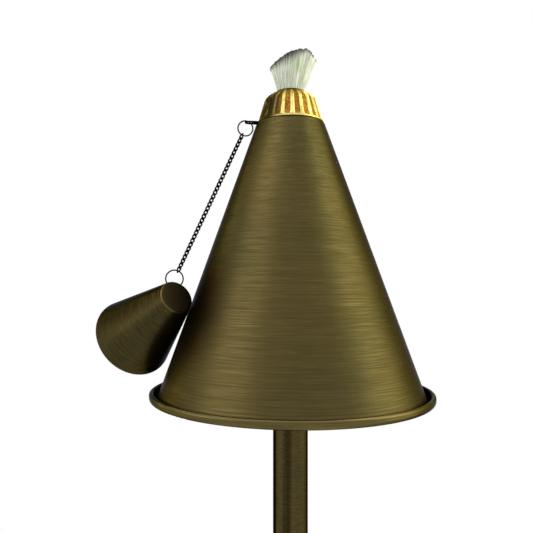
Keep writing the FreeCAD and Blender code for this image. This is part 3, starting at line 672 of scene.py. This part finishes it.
shaped = add(strand_tree, "GeometryNodeSetPosition", {"Geometry": loose.outputs[0], "Position": final.outputs[0]})
fibre_round = add(strand_tree, "GeometryNodeCurvePrimitiveCircle", {"Resolution": 5, "Radius": given["Strand radius"]},
                  mode="RADIUS")
strands = add(strand_tree, "GeometryNodeCurveToMesh", {
    "Curve": shaped.outputs[0], "Profile Curve": fibre_round.outputs[0], "Fill Caps": True})
both = add(strand_tree, "GeometryNodeJoinGeometry")
for part in (strands.outputs[0], add(strand_tree, "NodeGroupInput").outputs["Geometry"]):
    strand_tree.links.new(part, both.inputs[0])
soft_strands = add(strand_tree, "GeometryNodeSetShadeSmooth", {"Geometry": both.outputs[0]})
give_out(strand_tree, soft_strands.outputs[0], given["Material"])

# %% [markdown]
# ## The laid cord
# Below its tube the wick is still a tight cord that hangs in the oil: its strands lie side by side and wind round
# the axis. One straight line is copied for each strand, and every copy starts at another angle and turns on its way.

# %% Cord tree
CORD_STRANDS = 14
CORD_PITCH = 70 * MM                # one full turn of a strand
CORD_STEPS = 72
cord_tree, given = node_group("laid cord", (
    ("Strands", "Int", CORD_STRANDS), ("Length", "Float", FRAY_START - wick_low.z), ("Foot", "Float", wick_low.z),
    ("Turn per metre", "Float", math.tau / CORD_PITCH), ("Lay radius", "Float", 7.7 * MM),
    ("Strand radius", "Float", 1.55 * MM), ("Material", "Material", None)))
lay_points = add(cord_tree, "GeometryNodePoints", {"Count": given["Strands"]})
lay_line = add(cord_tree, "GeometryNodeMeshToCurve", {"Mesh": add(
    cord_tree, "GeometryNodeMeshLine", {"Count": CORD_STEPS, "Offset": (0, 0, 1 / (CORD_STEPS - 1))},
    mode="OFFSET").outputs[0]})
lay_copies = add(cord_tree, "GeometryNodeInstanceOnPoints", {"Points": lay_points.outputs[0],
                                                            "Instance": lay_line.outputs[0]})
lay_loose = add(cord_tree, "GeometryNodeRealizeInstances", {"Geometry": lay_copies.outputs[0]})
lay_at = add(cord_tree, "GeometryNodeInputPosition").outputs[0]
lay_share = add(cord_tree, "ShaderNodeSeparateXYZ", {0: lay_at}).outputs["Z"]
lay_number = maths(cord_tree, "FLOOR", maths(cord_tree, "DIVIDE", maths(
    cord_tree, "ADD", add(cord_tree, "GeometryNodeInputIndex").outputs[0], 0.5), float(CORD_STEPS)))
lay_height = maths(cord_tree, "MULTIPLY", lay_share, given["Length"])
lay_angle = maths(cord_tree, "MULTIPLY_ADD", lay_height, given["Turn per metre"], maths(
    cord_tree, "MULTIPLY", lay_number, maths(cord_tree, "DIVIDE", math.tau, given["Strands"])))
lay_place = add(cord_tree, "ShaderNodeCombineXYZ", {
    "X": maths(cord_tree, "MULTIPLY", maths(cord_tree, "COSINE", lay_angle), given["Lay radius"]),
    "Y": maths(cord_tree, "MULTIPLY", maths(cord_tree, "SINE", lay_angle), given["Lay radius"]),
    "Z": maths(cord_tree, "ADD", lay_height, given["Foot"])})
lay_shaped = add(cord_tree, "GeometryNodeSetPosition", {"Geometry": lay_loose.outputs[0],
                                                        "Position": lay_place.outputs[0]})
lay_round = add(cord_tree, "GeometryNodeCurvePrimitiveCircle", {"Resolution": 8, "Radius": given["Strand radius"]},
                mode="RADIUS")
lay_strands = add(cord_tree, "GeometryNodeCurveToMesh", {
    "Curve": lay_shaped.outputs[0], "Profile Curve": lay_round.outputs[0], "Fill Caps": True})
lay_soft = add(cord_tree, "GeometryNodeSetShadeSmooth", {"Geometry": lay_strands.outputs[0]})
give_out(cord_tree, lay_soft.outputs[0], given["Material"])

# %% [markdown]
# ## Colour of the fibre
# White glass fibre has a faint green tone, the cleft between its bundles gets a painted greenish shade, and there is
# soot where the flame has been along the cut.
# The soot is measured down from the cut by the cut's own rule, so it has the same slant.

# %% Fibre material
fibre, fibre_tree, fibre_shader = new_material("wick fibre")
fibre_place = add(fibre_tree, "ShaderNodeTexCoord").outputs["Object"]
fibre_at = add(fibre_tree, "ShaderNodeSeparateXYZ", {0: fibre_place}).outputs


def fibre_math(operation, *values):
    return maths(fibre_tree, operation, *values)


to_left = fibre_math("MAXIMUM", fibre_math("DIVIDE", fibre_math("SUBTRACT", RIDGE_X, fibre_at["X"]), LEFT_REACH), 0.0)
to_right = fibre_math("MAXIMUM", fibre_math("DIVIDE", fibre_math("SUBTRACT", fibre_at["X"], RIDGE_X), RIGHT_REACH), 0.0)
cut_drop = fibre_math("MULTIPLY_ADD", fibre_math("MULTIPLY", to_left, to_left), LEFT_DROP,
                      fibre_math("MULTIPLY", to_right, RIGHT_DROP))
below_cut = fibre_math("SUBTRACT", fibre_math("SUBTRACT", RIDGE_Z, cut_drop), fibre_at["Z"])
streaks = add(fibre_tree, "ShaderNodeTexNoise", {
    "Vector": add(fibre_tree, "ShaderNodeMapping", {"Vector": fibre_place, "Scale": (700, 700, 90)}).outputs[0],
    "Scale": 1.0, "Detail": 3.0}).outputs["Fac"]
SOOT_STOPS = ((0.0, 0.30), (0.35, 0.75), (0.62, 0.62), (0.8, 0.22), (1.0, 0.12))   # place across, share of reach
soot_depth = ramp(fibre_tree, fibre_math("MULTIPLY_ADD", fibre_at["X"], 1 / (36 * MM), 0.45),
                  *((place, (depth_share,) * 3) for place, depth_share in SOOT_STOPS))
soot_reach = fibre_math("MULTIPLY", soot_depth, 15.0 * MM)
jagged = fibre_math("MULTIPLY_ADD", fibre_math("SUBTRACT", streaks, 0.5), 2.0 * MM, below_cut)
sooted = between(fibre_tree, fibre_math("DIVIDE", jagged, soot_reach), 1.0, 0.0)
clean = ramp(fibre_tree, streaks, (0.3, (0.80, 0.88, 0.58)), (0.5, (0.89, 0.94, 0.70)), (0.7, (0.96, 0.98, 0.84)))
# Painted shade: a dark greenish patch in the cleft between the bundles at the front of the head.
cleft_side = fibre_math("DIVIDE", fibre_math("SUBTRACT", fibre_at["X"], 5.0 * MM), 2.0 * MM)
cleft_height = fibre_math("DIVIDE", fibre_math("SUBTRACT", fibre_at["Z"], RIDGE_Z - 12.5 * MM), 6.5 * MM)
cleft_distance = fibre_math("SQRT", fibre_math("ADD", fibre_math("MULTIPLY", cleft_side, cleft_side),
                                            fibre_math("MULTIPLY", cleft_height, cleft_height)))
painted_cleft_shade = between(fibre_tree, cleft_distance, 1.1, 0.5)
clean = blended(fibre_tree, painted_cleft_shade, clean, (0.48, 0.66, 0.33, 1))
fibre_tree.links.new(blended(fibre_tree, sooted, clean, (0.030, 0.031, 0.036, 1)), fibre_shader.inputs["Base Color"])
fibre_shader.inputs["Roughness"].default_value = 0.85
fibre_shader.inputs["Subsurface Weight"].default_value = 0.6
fibre_shader.inputs["Subsurface Radius"].default_value = (1, 1, 0.8)
fibre_shader.inputs["Subsurface Scale"].default_value = 3 * MM

wick_piece = grown("wick_fibres", strand_tree, {"Material": fibre}, "burner", ("wick",), core_mesh)
cord_piece = grown("wick_cord", cord_tree, {"Material": fibre}, "burner", ("wick",))
print("head has", len(wick_piece.data.polygons), "faces, cord", len(cord_piece.data.polygons))

# %% [markdown]
# ## The ribbed cap
# The cap is a casting. Its ribs give the fingers a grip, and only they were polished: the grooves keep the rough,
# brown skin of the casting. A cutter could take the grooves out of a turned body, but the ribs of the real piece
# have rounded crowns, so here they are added instead. One rib is drawn as a small solid that follows the cap's outline,
# and Geometry Nodes set it round the axis as often as the cap has ribs.

# %% Outline of the cap
CAP_RIBS = 20
CAP_FOOT_R = 23.7 * MM
CAP_SHOULDER_R, CAP_SHOULDER_H = 18.7 * MM, 16.3 * MM
CAP_TOP_R, CAP_H = 11.8 * MM, 21.4 * MM
CAP_BAND = 1.5 * MM
GROOVE_DEPTH = 1.1 * MM
RIB_HALF_TURN = math.radians(360 / CAP_RIBS * 0.26)
CAP_BULGE = 0.8 * MM

cap_side = [(CAP_FOOT_R + (CAP_SHOULDER_R - CAP_FOOT_R) * t, CAP_SHOULDER_H * t) for t in
            (CAP_BAND / CAP_SHOULDER_H, 0.3, 0.5, 0.7, 0.85, 0.95)]
cap_round = []
for step in range(1, 10):
    t = step / 9
    bulge = CAP_BULGE * math.sin(math.pi * t)
    cap_round.append((CAP_SHOULDER_R + (CAP_TOP_R - CAP_SHOULDER_R) * t + bulge * 0.6,
                      CAP_SHOULDER_H + (CAP_H - CAP_SHOULDER_H) * t + bulge * 0.7))
cap_outline = cap_side + [(CAP_SHOULDER_R + 0.15 * MM, CAP_SHOULDER_H)] + cap_round


def lathed(name, loop, sides):
    """A closed outline of (radius, height) pairs, turned round the upright axis."""
    points = [Vector((r * math.cos(math.tau * k / sides), r * math.sin(math.tau * k / sides), z))
              for k in range(sides) for r, z in loop]
    count = len(loop)
    faces = [[k * count + i, k * count + (i + 1) % count, (k + 1) % sides * count + (i + 1) % count,
              (k + 1) % sides * count + i] for k in range(sides) for i in range(count)]
    mesh = bpy.data.meshes.new(name)
    mesh.from_pydata(points, [], faces)
    return outward(mesh)


# %% Body and one rib
CAP_BORE_R = 10.95 * MM
CAP_WALL = 1.9 * MM
cap_z = collar_low.z
groove_floor = [(r - GROOVE_DEPTH * 0.94, z - GROOVE_DEPTH * 0.25) for r, z in cap_outline]
body_loop = [(CAP_FOOT_R - CAP_WALL, 0), (CAP_FOOT_R, 0), (CAP_FOOT_R - 0.02 * MM, CAP_BAND * 0.6),
             (cap_side[0][0] - 0.1 * MM, CAP_BAND)]
body_top = CAP_H - GROOVE_DEPTH * 0.6
body_loop += groove_floor[1:-1] + [(CAP_TOP_R - GROOVE_DEPTH * 0.5, body_top), (CAP_BORE_R, body_top)]
body_loop += [(CAP_BORE_R, CAP_SHOULDER_H), (CAP_SHOULDER_R - CAP_WALL - GROOVE_DEPTH, CAP_SHOULDER_H - CAP_WALL)]
cap_body = lathed("cap_body", [(r, z + cap_z) for r, z in body_loop], 120)

RIB_SECTION = 9
rib_rings = []
for r, z in cap_outline:
    ring = []
    for k in range(RIB_SECTION):
        side = 2 * k / (RIB_SECTION - 1) - 1
        sunk = GROOVE_DEPTH * 1.25 * abs(side) ** 5
        turn_by = side * RIB_HALF_TURN - math.pi / 2
        slope_in = 1.0 if z < CAP_SHOULDER_H else 0.6
        ring.append(Vector(((r - sunk * slope_in) * math.cos(turn_by), (r - sunk * slope_in) * math.sin(turn_by),
                            cap_z + z - sunk * (1 - slope_in))))
    rib_rings.append(ring)
rib_mesh = outward(ringed_solid("cap_rib", rib_rings))
rib = bpy.data.objects.new("cap_rib_pattern", rib_mesh)
bpy.context.scene.collection.objects.link(rib)

cap_tree, given = node_group("ribbed cap", (
    ("Rib", "Object", None), ("Ribs", "Int", CAP_RIBS), ("Material", "Material", None)))
pattern = add(cap_tree, "GeometryNodeObjectInfo", {"Object": given["Rib"]})
places = add(cap_tree, "GeometryNodePoints", {"Count": given["Ribs"]})
share = maths(cap_tree, "DIVIDE", math.tau, given["Ribs"])
spin = add(cap_tree, "ShaderNodeCombineXYZ", {
    "Z": maths(cap_tree, "MULTIPLY", add(cap_tree, "GeometryNodeInputIndex").outputs[0], share)})
ribs = add(cap_tree, "GeometryNodeInstanceOnPoints", {
    "Points": places.outputs[0], "Instance": pattern.outputs["Geometry"], "Rotation": spin.outputs[0]})
cap_parts = add(cap_tree, "GeometryNodeJoinGeometry")
for part in (ribs.outputs[0], given["Geometry"]):
    cap_tree.links.new(part, cap_parts.inputs[0])
give_out(cap_tree, cap_parts.outputs[0], given["Material"])

# %% [markdown]
# ## Two finishes on one casting
# The polished crowns and the raw grooves change over at a fixed share of each rib's turn around the axis,
# so one material serves both: the angle around the axis, times the number of ribs, makes a wave that tells them apart.
# The grooves get the pitted brown of cast brass, and the cap's left side is painted darker, as painted shade.

# %% Cast and polished brass
cast, cast_tree, cast_shader = new_material("cast brass")
cast_place = about_axis(cast_tree, (0, 0, cap_z), (0, 0, 1))
cast_dir = add(cast_tree, "ShaderNodeSeparateXYZ", {0: cast_place[0]}).outputs
bearing = maths(cast_tree, "ARCTAN2", cast_dir["Y"], cast_dir["X"])
wave = maths(cast_tree, "COSINE", maths(cast_tree, "MULTIPLY_ADD", bearing, float(CAP_RIBS), 0.0))
on_rib = between(cast_tree, wave, -0.05, 0.25)
on_band = between(cast_tree, cast_place[2], CAP_BAND, CAP_BAND * 0.85)
polished = maths(cast_tree, "MAXIMUM", on_rib, on_band)
grit = add(cast_tree, "ShaderNodeTexNoise", {"Vector": add(cast_tree, "ShaderNodeTexCoord").outputs["Object"],
                                            "Scale": 1500.0, "Detail": 3.0}).outputs["Fac"]
patches = add(cast_tree, "ShaderNodeTexNoise", {"Vector": add(cast_tree, "ShaderNodeTexCoord").outputs["Object"],
                                               "Scale": 260.0, "Detail": 2.0}).outputs["Fac"]
raw_skin = ramp(cast_tree, grit, (0.36, (0.10, 0.040, 0.006)), (0.5, (0.26, 0.115, 0.015)), (0.66, (0.50, 0.26, 0.05)))
bright = ramp(cast_tree, patches, (0.35, (0.56, 0.43, 0.12)), (0.62, (0.80, 0.67, 0.24)))
both_skins = blended(cast_tree, polished, raw_skin, bright)
# Painted shade: the cap's left side is darkened in patches, standing in for the shade on that side.
shaded_left_side = between(cast_tree, cast_dir["X"], -0.10, -0.68)
painted_side_shade = maths(cast_tree, "MULTIPLY", shaded_left_side, between(cast_tree, patches, 0.2, 0.5, 0.75, 1.0))
cast_tree.links.new(blended(cast_tree, painted_side_shade, both_skins, (0.034, 0.027, 0.010, 1)), cast_shader.inputs["Base Color"])
cast_tree.links.new(between(cast_tree, polished, 0.0, 1.0, 0.55, 0.26), cast_shader.inputs["Roughness"])
pits = add(cast_tree, "ShaderNodeBump", {"Height": grit, "Strength": 0.5, "Distance": 0.0003})
cast_tree.links.new(pits.outputs[0], cast_shader.inputs["Normal"])
cast_shader.inputs["Metallic"].default_value = 1.0
cast_shader.inputs["Specular Tint"].default_value = (0.6, 0.5, 0.2, 1)

cap_piece = grown("ribbed_cap", cap_tree, {"Rib": rib, "Material": cast}, "collar", ("collar",), cap_body)
bpy.data.objects.remove(rib)
print("cap has", CAP_RIBS, "ribs and", len(cap_piece.data.polygons), "faces")

# %% [markdown]
# ## The last setting
# The view transform is Standard, so colours render about as they are written.
# The construction's box and the box of what is shown are written down side by side, so they can be compared.

# %% Finish
bpy.context.scene.view_settings.view_transform = "Standard"
print("pieces shown are ready")
